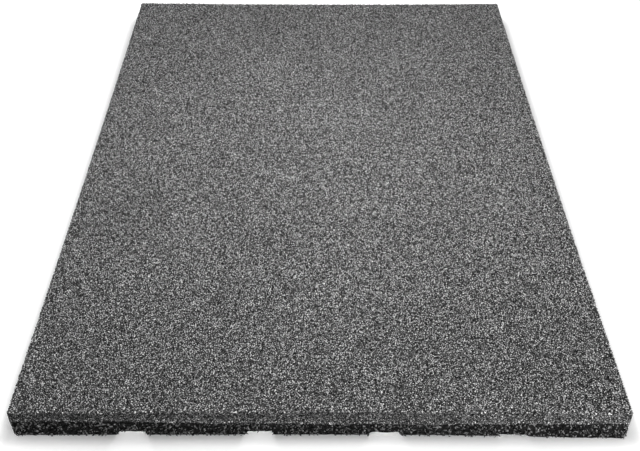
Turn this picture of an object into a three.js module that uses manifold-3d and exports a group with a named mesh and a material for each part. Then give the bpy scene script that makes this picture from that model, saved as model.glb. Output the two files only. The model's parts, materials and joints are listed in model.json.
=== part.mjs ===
import * as THREE from 'three';
import { mergeVertices } from 'three/addons/utils/BufferGeometryUtils.js';
import Module from 'manifold-3d';

// Playground safety mat of bound rubber crumb, lying flat. Millimetres, +Z up.
// The origin is the centre of the underside, +X runs along the front edge and +Y towards the back.

// Overall size
const matWidth = 500;
const matLength = 750;
const matThickness = 30;

// Edges: upright corners in plan, and the small rounding round the top and bottom faces
const cornerRadius = 2.5;
const arrisRadius = 1;
const cornerSegments = 5;
const arrisSegments = 3;

// Drainage channels: straight, open below, from the front edge to the back edge
const channelCount = 4;
const channelPitch = 104;
const channelRowShift = 2;
const channelMouthWidth = 25;
const channelRoofWidth = 21;
const channelDepth = 5;
const channelOverrun = 5;

// Finish of the crumb
const crumbColour = 0x3d3d3d;
const crumbRoughness = 0.92;

const wasm = await Module();
wasm.setup();

// A closed geometry as a solid that can be cut
function solidOf(geometry) {
  geometry.deleteAttribute('normal');
  geometry.deleteAttribute('uv');
  const merged = mergeVertices(geometry, 1e-4);
  return new wasm.Manifold(new wasm.Mesh({
    numProp: 3,
    vertProperties: new Float32Array(merged.attributes.position.array),
    triVerts: new Uint32Array(merged.index.array),
  }));
}

// A cut solid as a geometry again
function geometryOf(solid) {
  const { vertProperties, triVerts } = solid.getMesh();
  const geometry = new THREE.BufferGeometry();
  geometry.setAttribute('position', new THREE.BufferAttribute(vertProperties, 3));
  geometry.setIndex(new THREE.BufferAttribute(triVerts, 1));
  geometry.computeVertexNormals();
  return geometry;
}

// The plan outline: a rectangle with rounded corners, anticlockwise
function planOutline() {
  const halfWidth = matWidth / 2;
  const halfLength = matLength / 2;
  const straightX = halfWidth - cornerRadius;
  const straightY = halfLength - cornerRadius;
  const outline = new THREE.Shape();
  outline.moveTo(-straightX, -halfLength);
  outline.lineTo(straightX, -halfLength);
  outline.absarc(straightX, -straightY, cornerRadius, -Math.PI / 2, 0);
  outline.lineTo(halfWidth, straightY);
  outline.absarc(straightX, straightY, cornerRadius, 0, Math.PI / 2);
  outline.lineTo(-straightX, halfLength);
  outline.absarc(-straightX, straightY, cornerRadius, Math.PI / 2, Math.PI);
  outline.lineTo(-halfWidth, -straightY);
  outline.absarc(-straightX, -straightY, cornerRadius, Math.PI, Math.PI * 1.5);
  return outline;
}

// The slab before its underside is channelled, standing on z = 0
function slabSolid() {
  const geometry = new THREE.ExtrudeGeometry(planOutline(), {
    depth: matThickness - 2 * arrisRadius,
    curveSegments: cornerSegments,
    bevelEnabled: true,
    bevelSize: arrisRadius,
    bevelOffset: -arrisRadius,
    bevelThickness: arrisRadius,
    bevelSegments: arrisSegments,
  });
  geometry.translate(0, 0, arrisRadius);
  return solidOf(geometry);
}

// One channel as a prism: its flanks keep their slope below the underside and it runs past both edges
function channelSolid(centreX) {
  const flankRun = (channelMouthWidth - channelRoofWidth) / 2;
  const halfRoof = channelRoofWidth / 2;
  const halfBelow = channelMouthWidth / 2 + flankRun * (channelOverrun / channelDepth);
  const section = new THREE.Shape();
  section.moveTo(centreX - halfBelow, -channelOverrun);
  section.lineTo(centreX + halfBelow, -channelOverrun);
  section.lineTo(centreX + halfRoof, channelDepth);
  section.lineTo(centreX - halfRoof, channelDepth);
  section.closePath();
  const runLength = matLength + 2 * channelOverrun;
  const geometry = new THREE.ExtrudeGeometry(section, { depth: runLength, bevelEnabled: false });
  geometry.rotateX(Math.PI / 2);
  geometry.translate(0, runLength / 2, 0);
  return solidOf(geometry);
}

// Where each channel's centre line is, from the left
function channelCentres() {
  const firstX = channelRowShift - channelPitch * (channelCount - 1) / 2;
  return Array.from({ length: channelCount }, (_, i) => firstX + i * channelPitch);
}

function rubberMat() {
  let solid = slabSolid();
  for (const centreX of channelCentres()) {
    solid = solid.subtract(channelSolid(centreX));
  }
  const material = new THREE.MeshStandardMaterial({
    color: crumbColour,
    roughness: crumbRoughness,
    metalness: 0,
  });
  const mesh = new THREE.Mesh(geometryOf(solid), material);
  mesh.name = 'rubber_mat';
  return mesh;
}

const safetyMat = new THREE.Group();
safetyMat.add(rubberMat());

export default safetyMat;
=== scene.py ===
import json
from math import radians

import bpy
import numpy as np
from mathutils import Matrix, Vector


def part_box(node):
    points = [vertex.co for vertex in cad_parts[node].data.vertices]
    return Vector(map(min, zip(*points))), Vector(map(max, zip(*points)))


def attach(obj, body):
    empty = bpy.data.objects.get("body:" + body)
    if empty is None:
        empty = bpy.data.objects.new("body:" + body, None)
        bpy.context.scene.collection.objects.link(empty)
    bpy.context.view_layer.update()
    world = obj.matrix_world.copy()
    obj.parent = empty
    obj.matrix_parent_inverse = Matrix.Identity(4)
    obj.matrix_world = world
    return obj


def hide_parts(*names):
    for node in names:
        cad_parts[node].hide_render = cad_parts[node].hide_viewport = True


# Playground safety mat of bound rubber crumb, lying flat on a pale floor. Lengths are in metres.

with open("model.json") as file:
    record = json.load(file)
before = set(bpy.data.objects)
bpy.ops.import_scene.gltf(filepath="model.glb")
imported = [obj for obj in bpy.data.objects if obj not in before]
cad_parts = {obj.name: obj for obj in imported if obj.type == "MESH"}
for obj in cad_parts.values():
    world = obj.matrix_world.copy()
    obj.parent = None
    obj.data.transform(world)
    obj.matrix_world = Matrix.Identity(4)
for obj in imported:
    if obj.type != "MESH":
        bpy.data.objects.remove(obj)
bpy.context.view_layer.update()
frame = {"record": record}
matLow, matHigh = (np.array(corner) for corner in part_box("rubber_mat"))
halfWidth, halfLength, matThickness = matHigh
print("frame loaded, mat", matHigh - matLow)


# The mat as it leaves its mould
mould = {
    "cornerRadius": 0.0025,
    # where the fine upper course ends, at each x
    "courseLine": ((-0.235, 0.0197), (-0.20, 0.0190), (-0.105, 0.0169), (0.0, 0.0145),
                   (0.095, 0.0147), (0.158, 0.0158), (0.213, 0.0168)),
    "courseRipple": {"height": 0.0009, "size": 0.021, "seed": 5},
    "proudTop": 0.0002,          # the furthest that a scrap stands out of the nominal faces
    "proudSide": 0.0007,
}

# How it has shrunk and worn
wear = {
    "bow": {"left": 0.0012, "right": 0.0020, "front": 0.0021, "back": 0.0036},  # drawn in halfway along
    "chip": (0.0022, 0.0060, 0.0040),  # missing corner at front left below, along x, y and z
    # how far the lower edge of the feet is worn back, in front at each x, and on the other sides
    "frontFoot": ((-0.25, 0.0012), (-0.105, 0.0001), (0.0, 0.0000), (0.105, -0.0002), (0.21, -0.0014)),
    "otherFoot": 0.0004,
    # notches torn out of that edge between the scraps; the bed stands back evenly there, by a share of them
    "notch": {"depth": 0.0022, "width": 0.0015, "height": 0.0030, "seed": 31},
    "bedShare": 0.35,
    "edgePower": 20,             # the higher, the nearer to the edge the wear stays
}

# The drain channels, left to right, as they look at the front: how far each flank runs inwards
channelWear = {
    "mouthWidth": 0.025,
    "mouthLeft": (0.0000, -0.0010, 0.0022, -0.0004),
    "mouthRight": (-0.0005, -0.0003, 0.0004, 0.0001),
    "leftRun": (0.0031, 0.0028, 0.0020, 0.0004),
    "rightRun": (0.0004, 0.0018, 0.0034, 0.0026),
    "roofDrop": (-0.0005, 0.0001, 0.0008, 0.0018),
}

# Large numbers that turn a cell's place and a seed into a chance value
chanceMix = {"place": (73856093, 19349663, 83492791), "seed": 2654435761, "last": 1274126177}


def smooth(values):
    return values * values * (3 - 2 * values)


# A chance value from -1 to 1 for each whole place
def chanceAt(place, seed):
    mixed = seed * chanceMix["seed"]
    for axis, factor in enumerate(chanceMix["place"]):
        mixed = mixed ^ place[:, axis] * factor
    mixed = (mixed ^ (mixed >> 13)) * chanceMix["last"] & 0xFFFFFFFF
    return ((mixed ^ (mixed >> 16)) & 0xFFFF) / (0xFFFF / 2) - 1


# Soft lumps of a given size, from -1 to 1, the same at each run
def lumps(points, size, seed):
    at = points / size
    cell = np.floor(at).astype(np.int64)
    part = smooth(at - cell)
    total = np.zeros(len(at))
    for corner in np.ndindex(2, 2, 2):
        weight = np.ones(len(at))
        for axis in range(3):
            weight *= part[:, axis] if corner[axis] else 1 - part[:, axis]
        total += weight * chanceAt(cell + corner, seed)
    return total


def channels():
    found = []
    for i, opening in enumerate(frame["record"]["physics"]["openings"]):
        (left, _, _), (right, _, top) = opening["box_m"]
        middle = (left + right) / 2
        mouthLeft = middle - channelWear["mouthWidth"] / 2 - channelWear["mouthLeft"][i]
        mouthRight = middle + channelWear["mouthWidth"] / 2 + channelWear["mouthRight"][i]
        found.append({
            "mouth": (mouthLeft, mouthRight),
            "roof": (mouthLeft + channelWear["leftRun"][i], mouthRight - channelWear["rightRun"][i]),
            "depth": top - channelWear["roofDrop"][i],
        })
    return found


channelList = channels()


# Height of the underside above the floor, across the mat
def undersideAt(x):
    height = np.zeros_like(x)
    for channel in channelList:
        corners = (channel["mouth"][0], channel["roof"][0], channel["roof"][1], channel["mouth"][1])
        height = np.maximum(height, np.interp(x, corners, (0, channel["depth"], channel["depth"], 0)))
    return height


# Height of the line between the two courses
def courseAt(x, y):
    ripple = mould["courseRipple"]
    places, heights = zip(*mould["courseLine"])
    spots = np.stack([x, y, np.zeros_like(x)], axis=1)
    return np.interp(x, places, heights) + ripple["height"] * lumps(spots, ripple["size"], ripple["seed"])


# Holds points inside the mould: flat faces, rounded upright corners, and the chipped corner
def pressed(points):
    points = points.copy()
    limits = np.array([halfWidth, halfLength]) + mould["proudSide"]
    flat = np.clip(points[:, :2], -limits, limits)
    radius = mould["cornerRadius"]
    middle = np.sign(flat) * (limits - radius)
    out = (flat - middle) * np.sign(flat)
    inCorner = (out > 0).all(axis=1)
    length = np.linalg.norm(out, axis=1)
    shrink = np.where(inCorner & (length > radius), radius / np.maximum(length, 1e-9), 1)
    points[:, :2] = np.where(inCorner[:, None], middle + (flat - middle) * shrink[:, None], flat)
    points[:, 2] = np.clip(points[:, 2], 0, matThickness + mould["proudTop"])
    return chipped(points)


def chipped(points):
    reach = np.array(wear["chip"])
    into = points - (-halfWidth, -halfLength, 0)
    depth = 1 - (into / reach).sum(axis=1)      # over 0 where the corner is gone
    normal = (1 / reach) / (1 / reach ** 2).sum()
    return points + np.maximum(depth, 0)[:, None] * normal


# Depth of the notches in the lower edge of the feet, at places along it
def notches(along, height, isBed):
    notch = wear["notch"]
    spots = np.column_stack([along, np.zeros((len(along), 2))])
    share = wear["bedShare"] if isBed else np.maximum(lumps(spots, notch["width"], notch["seed"]), 0)
    return notch["depth"] * share * np.clip(1 - height / notch["height"], 0, 1)


# The last shaping of every piece: the sides draw in a little halfway, and the lower course at its foot
def drawnIn(points, isBed=False):
    x, y, z = points.T
    bow, power = wear["bow"], wear["edgePower"]
    acrossShare = np.clip(1 - (x / halfWidth) ** 2, 0, 1)
    alongShare = np.clip(1 - (y / halfLength) ** 2, 0, 1)
    low = np.clip(1 - z / courseAt(x, y), 0, 1)
    otherFoot = wear["otherFoot"] * low
    frontFoot = np.interp(x, *zip(*wear["frontFoot"])) * low
    fromX = np.where(x < 0, bow["left"], bow["right"]) * alongShare
    fromX += (otherFoot + notches(y, z, isBed)) * (x / halfWidth) ** power
    fromY = np.where(y < 0, bow["front"], bow["back"]) * acrossShare
    fromY += (np.where(y < 0, frontFoot, otherFoot) + notches(x, z, isBed)) * (y / halfLength) ** power
    inward = np.stack([fromX / halfWidth, fromY / halfLength], axis=1)
    return np.column_stack([points[:, :2] * (1 - inward), z])


# One piece of the mat, from points and from faces that all have as many corners
def meshPiece(name, points, faces, *materials):
    mesh = bpy.data.meshes.new(name)
    mesh.vertices.add(len(points))
    mesh.vertices.foreach_set("co", points.astype(np.float32).ravel())
    mesh.loops.add(faces.size)
    mesh.loops.foreach_set("vertex_index", faces.astype(np.int32).ravel())
    mesh.polygons.add(len(faces))
    mesh.polygons.foreach_set("loop_start", np.arange(0, faces.size, faces.shape[1], dtype=np.int32))
    mesh.update(calc_edges=True)
    for material in materials:
        mesh.materials.append(material)
    piece = bpy.data.objects.new(name, mesh)
    bpy.context.scene.collection.objects.link(piece)
    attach(piece, "root")
    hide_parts("rubber_mat")
    return piece


# One output of a shader node; arithmetic on it adds Math nodes
class Wire:
    def __init__(self, recipe, socket):
        self.recipe = recipe
        self.socket = socket

    def math(self, operation, first, second):
        return self.recipe.node("ShaderNodeMath", {"operation": operation}, {0: first, 1: second})

    def __add__(self, other):
        return self.math("ADD", self, other)

    def __radd__(self, other):
        return self.math("ADD", other, self)

    def __sub__(self, other):
        return self.math("SUBTRACT", self, other)

    def __rsub__(self, other):
        return self.math("SUBTRACT", other, self)

    def __mul__(self, other):
        return self.math("MULTIPLY", self, other)

    def __rmul__(self, other):
        return self.math("MULTIPLY", other, self)


# A material under construction
class Recipe:
    def __init__(self, name):
        self.material = bpy.data.materials.new(name)
        self.material.use_nodes = True
        self.tree = self.material.node_tree
        self.tree.nodes.clear()

    def node(self, kind, settings=None, values=None, out=0):
        made = self.tree.nodes.new(kind)
        for key, value in (settings or {}).items():
            if key == "stops":
                self.fillRamp(made.color_ramp, value)
            else:
                setattr(made, key, value)
        for key, value in (values or {}).items():
            if isinstance(value, Wire):
                self.tree.links.new(value.socket, made.inputs[key])
            else:
                made.inputs[key].default_value = value
        return Wire(self, made.outputs[out])

    def fillRamp(self, ramp, stops):
        while len(ramp.elements) < len(stops):
            ramp.elements.new(1)
        for element, (position, grey) in zip(ramp.elements, stops):
            element.position = position
            element.color = (grey, grey, grey, 1)

    # a value that goes from one number to another while its source goes from low to high
    def ranged(self, value, low, high, atLow, atHigh):
        return self.node("ShaderNodeMapRange", None, {"Value": value, "From Min": low, "From Max": high,
                                                      "To Min": atLow, "To Max": atHigh})

    def finish(self, **values):
        sockets = {name.replace("_", " "): value for name, value in values.items()}
        shader = self.node("ShaderNodeBsdfPrincipled", None, sockets)
        surface = self.tree.nodes.new("ShaderNodeOutputMaterial").inputs["Surface"]
        self.tree.links.new(shader.socket, surface)
        return self.material


# Crumb of one kind: the grey at each share of its flecks, and how scraps, clumps and the bed differ from
# it. The bed's share is painted shade: it darkens the bed seen in the gaps between the scraps. Each kind
# also gets painted shade towards the mat's left end.
crumb = {
    "fine": {
        "tones": ((0.00, 0.014), (0.30, 0.073), (0.50, 0.262), (0.72, 0.520), (1.00, 0.86)),
        "fleck": 0.0008, "darkestScrap": 0.80, "palestScrap": 1.10, "bed": 0.12,
        "clump": (0.98, 1.02), "dust": (0.93, 1.05), "leftEnd": 0.97,
        "shine": 0.05, "smoothest": 0.38, "roughest": 0.80,
    },
    # painted shade: the top's fine crumb again, painted darker for the upper course of the upright faces,
    # where less light falls
    "side": {
        "tones": ((0.00, 0.002), (0.30, 0.010), (0.50, 0.060), (0.70, 0.180), (1.00, 0.38)),
        "fleck": 0.0008, "darkestScrap": 0.50, "palestScrap": 1.30, "bed": 0.20,
        "clump": (0.94, 1.06), "dust": (0.93, 1.05), "leftEnd": 0.65,
        "shine": 0.05, "smoothest": 0.45, "roughest": 0.85,
    },
    # painted highlight: the fine crumb along the ledge under the upper course, painted lighter than on the
    # rest of the upright faces, as where the ledge catches the light; still painted darker than the top, as
    # painted shade
    "lip": {
        "tones": ((0.00, 0.006), (0.32, 0.025), (0.50, 0.110), (0.70, 0.270), (1.00, 0.50)),
        "fleck": 0.0008, "darkestScrap": 0.50, "palestScrap": 1.30,
        "clump": (0.94, 1.06), "dust": (0.93, 1.05), "leftEnd": 0.85,
        "shine": 0.10, "smoothest": 0.45, "roughest": 0.85,
    },
    "coarse": {
        "tones": ((0.00, 0.001), (0.24, 0.016), (0.52, 0.069), (0.85, 0.114), (1.00, 0.140)),
        "fleck": 0.0010, "darkestScrap": 0.60, "palestScrap": 1.30, "bed": 0.08,
        "clump": (0.94, 1.06), "dust": (0.93, 1.05), "leftEnd": 0.95,
        "shine": 0.015, "smoothest": 0.50, "roughest": 0.85,
    },
}
patches = {"sizes": {"clump": 0.0032, "dust": 0.07}, "detail": 2.0, "darkestAt": 0.3, "palestAt": 0.7}
bedRelief = {"gap": 0.3, "fleckRise": 0.3, "strength": 0.8, "depthShare": 0.5, "shineShare": 0.5}


# The tone that scraps and bed of one kind share, as a number, with each fleck's own chance and the place;
# towards the mat's left end it is painted darker, as painted shade
def fleckTone(recipe, look):
    spot = recipe.node("ShaderNodeTexCoord", out="Object")
    cell = recipe.node("ShaderNodeTexVoronoi", None, {"Vector": spot, "Scale": 1 / look["fleck"]},
                       out="Color")
    chance = recipe.node("ShaderNodeSeparateColor", None, {"Color": cell})
    tone = recipe.node("ShaderNodeValToRGB", {"stops": look["tones"]}, {"Fac": chance})
    for patch, size in patches["sizes"].items():
        noise = recipe.node("ShaderNodeTexNoise", None, {"Vector": spot, "Scale": 1 / size,
                                                         "Detail": patches["detail"]})
        tone = tone * recipe.ranged(noise, patches["darkestAt"], patches["palestAt"], *look[patch])
    x = recipe.node("ShaderNodeSeparateXYZ", None, {"Vector": spot})
    # painted shade: the tone falls from full in the middle to the left end's share at the mat's left end
    return tone * recipe.ranged(x, -halfWidth, 0.0, look["leftEnd"], 1.0), chance, spot


def roughness(look, chance):
    return look["smoothest"] + (look["roughest"] - look["smoothest"]) * chance


def scrapMaterial(kind):
    look = crumb[kind]
    recipe = Recipe(kind + "Scraps")
    tone, chance, _ = fleckTone(recipe, look)
    own = recipe.node("ShaderNodeNewGeometry", out="Random Per Island")
    share = look["darkestScrap"] + (look["palestScrap"] - look["darkestScrap"]) * own
    return recipe.finish(Base_Color=tone * share, Roughness=roughness(look, chance),
                         Specular_IOR_Level=look["shine"])


def bedMaterial(kind):
    look = crumb[kind]
    recipe = Recipe(kind + "Bed")
    tone, chance, spot = fleckTone(recipe, look)
    gap = recipe.node("ShaderNodeTexVoronoi", {"feature": "DISTANCE_TO_EDGE"},
                      {"Vector": spot, "Scale": 1 / look["fleck"]})
    fleck = recipe.node("ShaderNodeMath", {"operation": "MINIMUM"}, {0: gap, 1: bedRelief["gap"]})
    height = fleck + bedRelief["fleckRise"] * chance
    bump = recipe.node("ShaderNodeBump", None, {"Height": height, "Strength": bedRelief["strength"],
                                                "Distance": look["fleck"] * bedRelief["depthShare"]})
    # the bed's grey is painted shade, darker for the gaps between the scraps
    return recipe.finish(Base_Color=tone * look["bed"], Roughness=roughness(look, chance), Normal=bump,
                         Specular_IOR_Level=look["shine"] * bedRelief["shineShare"])


# The bound bed under the loose-looking scraps: one closed body with its channels
bed = {
    "step": 0.0043,
    "endSteps": (0.0, 0.0006, 0.0016, 0.0030),
    "sideRows": 4,               # of each course
    "fineInset": -0.0004,        # behind the nominal faces
    "coarseInset": 0.0005,
    "topInset": 0.0009,
    "lip": 0.0004,               # height of the ledge under the upper course
    "roughFine": 0.00015,
    "roughCoarse": 0.0005,
    "roughSize": 0.0021,
    "roughSeeds": (11, 12, 13),
}


# Grid lines from one end to the other, closer together at both ends and meeting every fixed place
def gridLines(half, fixed):
    ends = np.array(bed["endSteps"])
    stops = np.array([-half + ends[-1], *sorted(fixed), half - ends[-1]])
    lines = [-half + ends[:-1], half - ends[:-1]]
    for a, b in zip(stops[:-1], stops[1:]):
        count = max(1, int(round((b - a) / bed["step"])))
        lines.append(np.linspace(a, b, count + 1))
    return np.unique(np.concatenate(lines).round(7))


# Heights of the rows of points up the sides, with the ledge between the courses, and which are coarse
def sideRows(foot, level):
    ledge = level - bed["lip"]
    shares = np.arange(1, bed["sideRows"]) / bed["sideRows"]
    coarseRows = [foot + (ledge - foot) * share for share in shares] + [ledge]
    fineRows = [level] + [level + (matThickness - level) * share for share in shares]
    return coarseRows + fineRows, [True] * len(coarseRows) + [False] * len(fineRows)


# Pulled in behind the scraps, more in the ragged lower course, and roughened
def settled(points, coarse, isTop):
    inset = np.where(coarse, bed["coarseInset"], bed["fineInset"])
    for axis, half in ((0, halfWidth), (1, halfLength)):
        points[:, axis] = np.clip(points[:, axis], -half + inset, half - inset)
    points[isTop, 2] -= bed["topInset"]
    jitter = np.stack([lumps(points, bed["roughSize"], seed) for seed in bed["roughSeeds"]], axis=1)
    points = points + jitter * np.where(coarse, bed["roughCoarse"], bed["roughFine"])[:, None]
    points[:, 2] = np.maximum(points[:, 2], 0)
    return drawnIn(pressed(points), isBed=True)


def makeBed():
    fixed = [x for channel in channelList for x in (*channel["mouth"], *channel["roof"])]
    xs, ys = gridLines(halfWidth, fixed), gridLines(halfLength, [])
    x, y = (grid.ravel() for grid in np.meshgrid(xs, ys, indexing="ij"))
    count = len(x)
    top = np.stack([x, y, np.full(count, matThickness)], axis=1)
    bottom = np.stack([x, y, undersideAt(x)], axis=1)
    index = np.arange(count).reshape(len(xs), len(ys))
    quads = np.stack([index[:-1, :-1], index[1:, :-1], index[1:, 1:], index[:-1, 1:]], axis=-1)
    quads = quads.reshape(-1, 4)

    # round the rim anticlockwise, seen from above
    ring = np.concatenate([index[:-1, 0], index[-1, :-1], index[:0:-1, -1], index[0, :0:-1]])
    length = len(ring)
    rim = bottom[ring]
    heights, coarseRow = sideRows(rim[:, 2], courseAt(rim[:, 0], rim[:, 1]))
    sideRings = [np.stack([rim[:, 0], rim[:, 1], height], axis=1) for height in heights]
    points = np.concatenate([top, bottom, *sideRings])
    coarse = np.repeat([False, True, *coarseRow], [count, count, *(length for _ in coarseRow)])

    rings = [count + ring]
    rings += [2 * count + k * length + np.arange(length) for k in range(len(heights))]
    rings += [ring]
    walls, wallCoarse = [], []
    for k, (low, high) in enumerate(zip(rings[:-1], rings[1:])):
        walls.append(np.stack([low, np.roll(low, -1), np.roll(high, -1), high], axis=1))
        wallCoarse.append(np.full(length, k <= bed["sideRows"]))
    faces = np.concatenate([quads, quads[:, ::-1] + count, *walls])
    faceCoarse = np.concatenate([np.zeros(len(quads), bool), np.ones(len(quads), bool), *wallCoarse])

    points = settled(points, coarse, np.arange(len(points)) < count)
    piece = meshPiece("mat_bed", points, faces, *(bedMaterial(kind) for kind in ("fine", "side", "coarse")))
    onTop = np.arange(len(faces)) < len(quads)
    finish = np.where(onTop, 0, np.where(faceCoarse, 2, 1))
    piece.data.polygons.foreach_set("material_index", finish.astype(np.int32))
    print("bed:", len(faces) * 2, "triangles")


# Closed forms of the rubber scraps, by their number of faces: corners and faces
scrapForms = {
    4: (((0.94, 0, 0.33), (-0.47, 0.82, 0.33), (-0.47, -0.82, 0.33), (0, 0, -1)),
        ((0, 1, 2), (0, 3, 1), (1, 3, 2), (2, 3, 0))),
    8: (((1, 0, 0), (-1, 0, 0), (0, 1, 0), (0, -1, 0), (0, 0, 1), (0, 0, -1)),
        ((0, 2, 4), (2, 1, 4), (1, 3, 4), (3, 0, 4), (2, 0, 5), (1, 2, 5), (3, 1, 5), (0, 3, 5))),
}
stretchPowers = np.array([1, -0.5, -0.5])       # a longer scrap is thinner, of the same bulk
thinnestScrap = 0.0001
mapCorners = 0.35 * np.array([(0, 1), (-0.87, -0.5), (0.87, -0.5)])  # of a face, in its square of the map

# The mat's visible faces: the directions along, up and out, how far out, and the extent along and up
matFaces = {
    "top": (((1, 0, 0), (0, 1, 0), (0, 0, 1)), matThickness, halfWidth, (-halfLength, halfLength)),
    "front": (((1, 0, 0), (0, 0, 1), (0, -1, 0)), halfLength, halfWidth, (0, matThickness)),
    "back": (((-1, 0, 0), (0, 0, 1), (0, 1, 0)), halfLength, halfWidth, (0, matThickness)),
    "left": (((0, -1, 0), (0, 0, 1), (-1, 0, 0)), halfWidth, halfLength, (0, matThickness)),
    "right": (((0, 1, 0), (0, 0, 1), (1, 0, 0)), halfWidth, halfLength, (0, matThickness)),
}
sideNames = ("front", "back", "left", "right")


def cosSin(angle):
    return np.cos(angle)[:, None], np.sin(angle)[:, None]


# Turns about the outward direction, then a tilt of so many degrees one way or another, twice
def turned(shape, tilt, rng):
    count = len(shape)
    for _ in range(2):
        c, s = cosSin(rng.uniform(0, 2 * np.pi, count))
        x, y, z = np.moveaxis(shape, 2, 0)
        shape = np.stack([c * x - s * y, s * x + c * y, z], axis=2)
        c, s = cosSin(np.radians(rng.normal(0, tilt, count)))
        x, y, z = np.moveaxis(shape, 2, 0)
        shape = np.stack([c * x + s * z, y, c * z - s * x], axis=2)
    return shape


# Scraps at places on a face of the mat, held down to its level there; each leans upwards by its angle
def scraps(face, places, style, rng, lean):
    directions, distance, _, _ = matFaces[face]
    proud = mould["proudTop" if face == "top" else "proudSide"]
    count = len(places)
    form, _ = scrapForms[style["faces"]]
    shape = np.array(form, float)[None] * rng.uniform(*style["uneven"], size=(count, len(form), 1))
    shape = shape * rng.uniform(*style["stretch"], size=(count, 1, 1)) ** stretchPowers
    c, s = cosSin(lean)
    x, y, z = np.moveaxis(turned(shape, style["tilt"], rng), 2, 0)
    shape = np.stack([x, c * y + s * z, c * z - s * y], axis=2)
    shape = shape * style["size"] * np.exp(rng.normal(0, style["spread"], size=(count, 1, 1)))
    level = rng.uniform(*style["level"], size=count)
    depth = shape[:, :, 2] - shape[:, :, 2].max(axis=1)[:, None]
    height = np.minimum(depth + level[:, None], proud)
    flat = places[:, None, :] + shape[:, :, :2]
    local = np.concatenate([flat, height[:, :, None] + distance], axis=2)
    return (local @ np.array(directions, float)).reshape(-1, 3)


def scrapPiece(name, batches, faceCount, material):
    form, faces = scrapForms[faceCount]
    shapes = pressed(np.concatenate(batches)).reshape(-1, len(form), 3)
    shapes = shapes[(np.ptp(shapes, axis=1) > thinnestScrap).all(axis=1)]  # none that is pressed flat
    count = len(shapes)
    tiles = np.arange(count)[:, None, None] * len(form) + np.array(faces)[None]
    piece = meshPiece(name, drawnIn(shapes.reshape(-1, 3)), tiles.reshape(-1, 3), material)
    # every scrap has its own small square of the piece's map, which all its faces share
    across = int(np.ceil(count ** 0.5))
    middle = np.stack([np.arange(count) % across, np.arange(count) // across], axis=1) + 0.5
    spots = (middle[:, None, None] + mapCorners[None, None]) / across
    spots = np.broadcast_to(spots, (count, len(faces), 3, 2))
    layer = piece.data.uv_layers.new(name="OFBake")
    layer.uv.foreach_set("vector", spots.astype(np.float32).ravel())
    print(name + ":", count, "scraps,", count * len(faces), "triangles")


# How scraps are strewn, in gaps: by chance about a grid at first, then neighbours push each other away
strewing = {"offGrid": 0.65, "rounds": 6, "apart": 0.95, "push": 0.25, "margin": 0.2}


# Places strewn over a rectangle about a gap apart
def strewn(low, high, gap, rng):
    counts = [max(1, int(round((h - l) / gap))) for l, h in zip(low, high)]
    grid = np.meshgrid(np.arange(counts[0]), np.arange(counts[1]), indexing="ij")
    spots = np.stack(grid, axis=2) + 0.5
    spots = spots + rng.uniform(-strewing["offGrid"], strewing["offGrid"], (*counts, 2))
    for _ in range(strewing["rounds"]):
        for i, j in ((0, 1), (1, -1), (1, 0), (1, 1)):
            one = spots[:counts[0] - i, max(0, -j):counts[1] - max(0, j)]
            other = spots[i:, max(0, j):counts[1] + min(0, j)]
            between = other - one
            length = np.maximum(np.linalg.norm(between, axis=2, keepdims=True), 0.01)
            push = strewing["push"] * between / length * np.maximum(strewing["apart"] - length, 0)
            one -= push
            other += push
    margin = strewing["margin"]
    spots = np.clip(spots, margin, np.array(counts) - margin).reshape(-1, 2)
    return np.array(low) + spots * (np.array(high) - np.array(low)) / counts


# The scraps of the top, in several pieces from left to right
wearFace = {
    "strips": 4,
    "gap": 0.0020,
    "seed": 100,
    "style": {"faces": 8, "size": 0.00097, "spread": 0.18, "uneven": (0.75, 1.25), "stretch": (0.9, 1.4),
              "tilt": 22, "level": (-0.0005, 0.0004)},
}


def makeWearFace(material):
    rng = np.random.default_rng(wearFace["seed"])
    style = wearFace["style"]
    places = strewn((-halfWidth, -halfLength), (halfWidth, halfLength), wearFace["gap"], rng)
    places = places[np.argsort(places[:, 0])]
    for i, strip in enumerate(np.array_split(places, wearFace["strips"])):
        batch = scraps("top", strip, style, rng, np.zeros(len(strip)))
        scrapPiece(f"wear_face_scraps_{i + 1}", [batch], style["faces"], material)


# The scraps of the four sides; lean is how many degrees they lean upwards, under the arris and lower down
sides = {
    "seed": 21,
    "fine": {"gap": 0.00146, "faces": 4, "size": 0.00085, "spread": 0.3, "uneven": (0.7, 1.3),
             "stretch": (0.9, 1.7), "tilt": 22, "level": (0.0002, 0.0010), "lean": (-24, 35)},
    "coarse": {"gap": 0.0021, "faces": 8, "size": 0.0012, "spread": 0.3, "uneven": (0.6, 1.3),
               "stretch": (1.0, 2.6), "tilt": 60, "level": (-0.0012, 0.0010), "lean": (0, 0)},
    "foot": {"gap": 0.0030, "faces": 8, "size": 0.0009, "spread": 0.3, "uneven": (0.6, 1.3),
             "stretch": (1.0, 1.8), "tilt": 60, "level": (0.0002, 0.0014), "lean": (0, 0)},
    "lipFoot": 0.0002,           # above the line between the courses
    "lipHeight": 0.0034,
    "coarseFoot": 0.0006,        # above the underside
    "footHeight": 0.0016,        # the granules along the feet's lower edge lie under it
}


# Scraps on the four upright sides; keep says where, by x, y and z
def onSides(style, keep, rng):
    batches = []
    for face in sideNames:
        directions, distance, half, (low, high) = matFaces[face]
        places = strewn((-half, low), (half, high), style["gap"], rng)
        spots = np.column_stack([places, np.full(len(places), distance)]) @ np.array(directions, float)
        kept = keep(*spots.T)
        x, y, z = spots[kept].T
        down = np.clip((matThickness - z) / (matThickness - courseAt(x, y)), 0, 1)
        lean = np.radians(np.interp(down, (0, 1), style["lean"]))
        batches.append(scraps(face, places[kept], style, rng, lean))
    return batches


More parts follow.
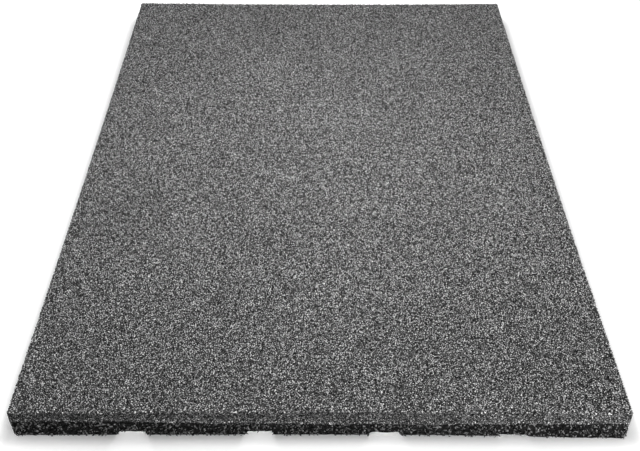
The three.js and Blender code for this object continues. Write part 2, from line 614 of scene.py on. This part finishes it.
def makeSides(shadedSideMaterial, lipHighlightMaterial, coarseMaterial):
    rng = np.random.default_rng(sides["seed"])

    def upper(x, y, z):
        return z > courseAt(x, y) + sides["lipHeight"]

    def lip(x, y, z):
        above = z - courseAt(x, y)
        return (above > sides["lipFoot"]) & (above <= sides["lipHeight"])

    def lower(x, y, z):
        return (z < courseAt(x, y)) & (z > undersideAt(x) + sides["coarseFoot"])

    def foot(x, y, z):
        return (z < sides["footHeight"]) & (undersideAt(x) == 0)

    fine, coarse = sides["fine"], sides["coarse"]
    scrapPiece("side_scraps_fine", onSides(fine, upper, rng), fine["faces"], shadedSideMaterial)
    scrapPiece("side_scraps_lip", onSides(fine, lip, rng), fine["faces"], lipHighlightMaterial)
    lowerBatches = onSides(coarse, lower, rng) + onSides(sides["foot"], foot, rng)
    scrapPiece("side_scraps_coarse", lowerBatches, coarse["faces"], coarseMaterial)


# Pale floor and soft light
studio = {
    "floorGrey": 0.96,
    "floorRoughness": 0.9,
    "floorSize": 30.0,
    "backdropGlow": 0.45,        # how much the floor brightens away from the mat
    "glowFrom": 0.018,
    "glowTo": 0.040,
    "glowAtSides": 1.7,          # how much more distances beside the mat count than those before it
    "leftGlow": 0.20,            # more at both ends of the front side
    "rightGlow": 0.13,
    "endsFrom": 0.17,            # these two begin that far from the middle, to either side
    "frontFrom": 0.32,           # and come in between these two, to the front
    "frontTo": 0.385,
    "sky": 0.60,
    "channelGlow": {"inside": 0.03, "height": 0.0025, "size": 0.004, "power": 0.03},  # light through each
}
softboxes = {
    "overhead_softbox": {"place": (0.0, -0.22, 0.60), "size": 0.34, "power": 2.65, "target": (0, 0, 0)},
    "middle_softbox": {"place": (-0.02, 0.02, 0.40), "size": 0.15, "power": 0.50, "target": (0, 0, 0)},
    "back_softbox": {"place": (0.0, 1.10, 0.85), "size": 0.45, "power": 0.1, "target": (0, 0, 0)},
    "front_right_softbox": {"place": (0.65, -1.0, 0.045), "size": 0.09, "power": 16.0,
                            "target": (0.2, -halfLength, 0.01)},
}


def makeFloor():
    recipe = Recipe("paleFloor")
    grey = studio["floorGrey"]
    spot = recipe.node("ShaderNodeTexCoord", out="Object")

    def outside(place, half):
        away = recipe.node("ShaderNodeMath", {"operation": "ABSOLUTE"}, {0: place}) - half
        return recipe.node("ShaderNodeMath", {"operation": "MAXIMUM"}, {0: away, 1: 0.0})

    x, y = (recipe.node("ShaderNodeSeparateXYZ", None, {"Vector": spot}, out=axis) for axis in (0, 1))
    away = outside(x, halfWidth) * studio["glowAtSides"] + outside(y, halfLength)
    ends = (recipe.ranged(x, -studio["endsFrom"], -halfWidth, 0.0, studio["leftGlow"])
            + recipe.ranged(x, studio["endsFrom"], halfWidth, 0.0, studio["rightGlow"]))
    front = recipe.ranged(y, -studio["frontFrom"], -studio["frontTo"], 0.0, 1.0)
    glow = recipe.ranged(away, studio["glowFrom"], studio["glowTo"], 0.0, studio["backdropGlow"])
    material = recipe.finish(Base_Color=(grey, grey, grey, 1), Roughness=studio["floorRoughness"],
                             Specular_IOR_Level=0.0, Emission_Color=glow + ends * front,
                             Emission_Strength=1.0)
    bpy.ops.mesh.primitive_plane_add(size=studio["floorSize"], location=(0, 0, 0))
    floor = bpy.context.object
    floor.name = "pale_floor"
    floor.data.materials.append(material)


def softbox(name, place, size, power, target):
    lamp = bpy.data.lights.new(name, "AREA")
    lamp.shape = "DISK"
    lamp.size = size
    lamp.energy = power
    holder = bpy.data.objects.new(name, lamp)
    holder.location = place
    holder.rotation_euler = (Vector(target) - Vector(place)).to_track_quat("-Z", "Y").to_euler()
    holder.visible_camera = False
    bpy.context.scene.collection.objects.link(holder)


def makeLight():
    scene = bpy.context.scene
    scene.view_settings.view_transform = "Standard"
    world = bpy.data.worlds.new("softSky")
    world.use_nodes = True
    background = world.node_tree.nodes["Background"]
    background.inputs["Color"].default_value = (1, 1, 1, 1)
    background.inputs["Strength"].default_value = studio["sky"]
    scene.world = world
    for name, setting in softboxes.items():
        softbox(name, **setting)
    glow = studio["channelGlow"]
    for i, channel in enumerate(channelList):
        middle = sum(channel["mouth"]) / 2
        place = (middle, glow["inside"] - halfLength, glow["height"])
        target = (middle, -halfLength, glow["height"])
        softbox(f"channel_glow_{i + 1}", place, glow["size"], glow["power"], target)


# The photo's view
photoView = {
    "lens": 54.34,
    "sensorWidth": 36,
    "pitch": 38.137,
    "yaw": -0.170,
    "roll": 0.182,
    "fromFrontEdge": (-0.0022, -0.51387, 0.59409),  # from the middle of the top front edge
}


def makeCamera():
    camera = bpy.data.objects.new("photo_camera", bpy.data.cameras.new("photo_camera"))
    camera.data.lens = photoView["lens"]
    camera.data.sensor_width = photoView["sensorWidth"]
    start = Vector((0, -halfLength, matThickness))
    turn = (Matrix.Rotation(radians(photoView["yaw"]), 4, "Z")
            @ Matrix.Rotation(radians(90 - photoView["pitch"]), 4, "X")
            @ Matrix.Rotation(radians(photoView["roll"]), 4, "Z"))
    camera.matrix_world = Matrix.Translation(start + Vector(photoView["fromFrontEdge"])) @ turn
    bpy.context.scene.collection.objects.link(camera)
    bpy.context.scene.camera = camera


makeCamera()
makeLight()
makeFloor()
print("studio ready")
makeBed()
makeWearFace(scrapMaterial("fine"))
# the upright faces get darker copies of the fine crumb as painted shade, lighter along the ledge as a
# painted highlight
makeSides(scrapMaterial("side"), scrapMaterial("lip"), scrapMaterial("coarse"))

bpy.context.view_layer.update()
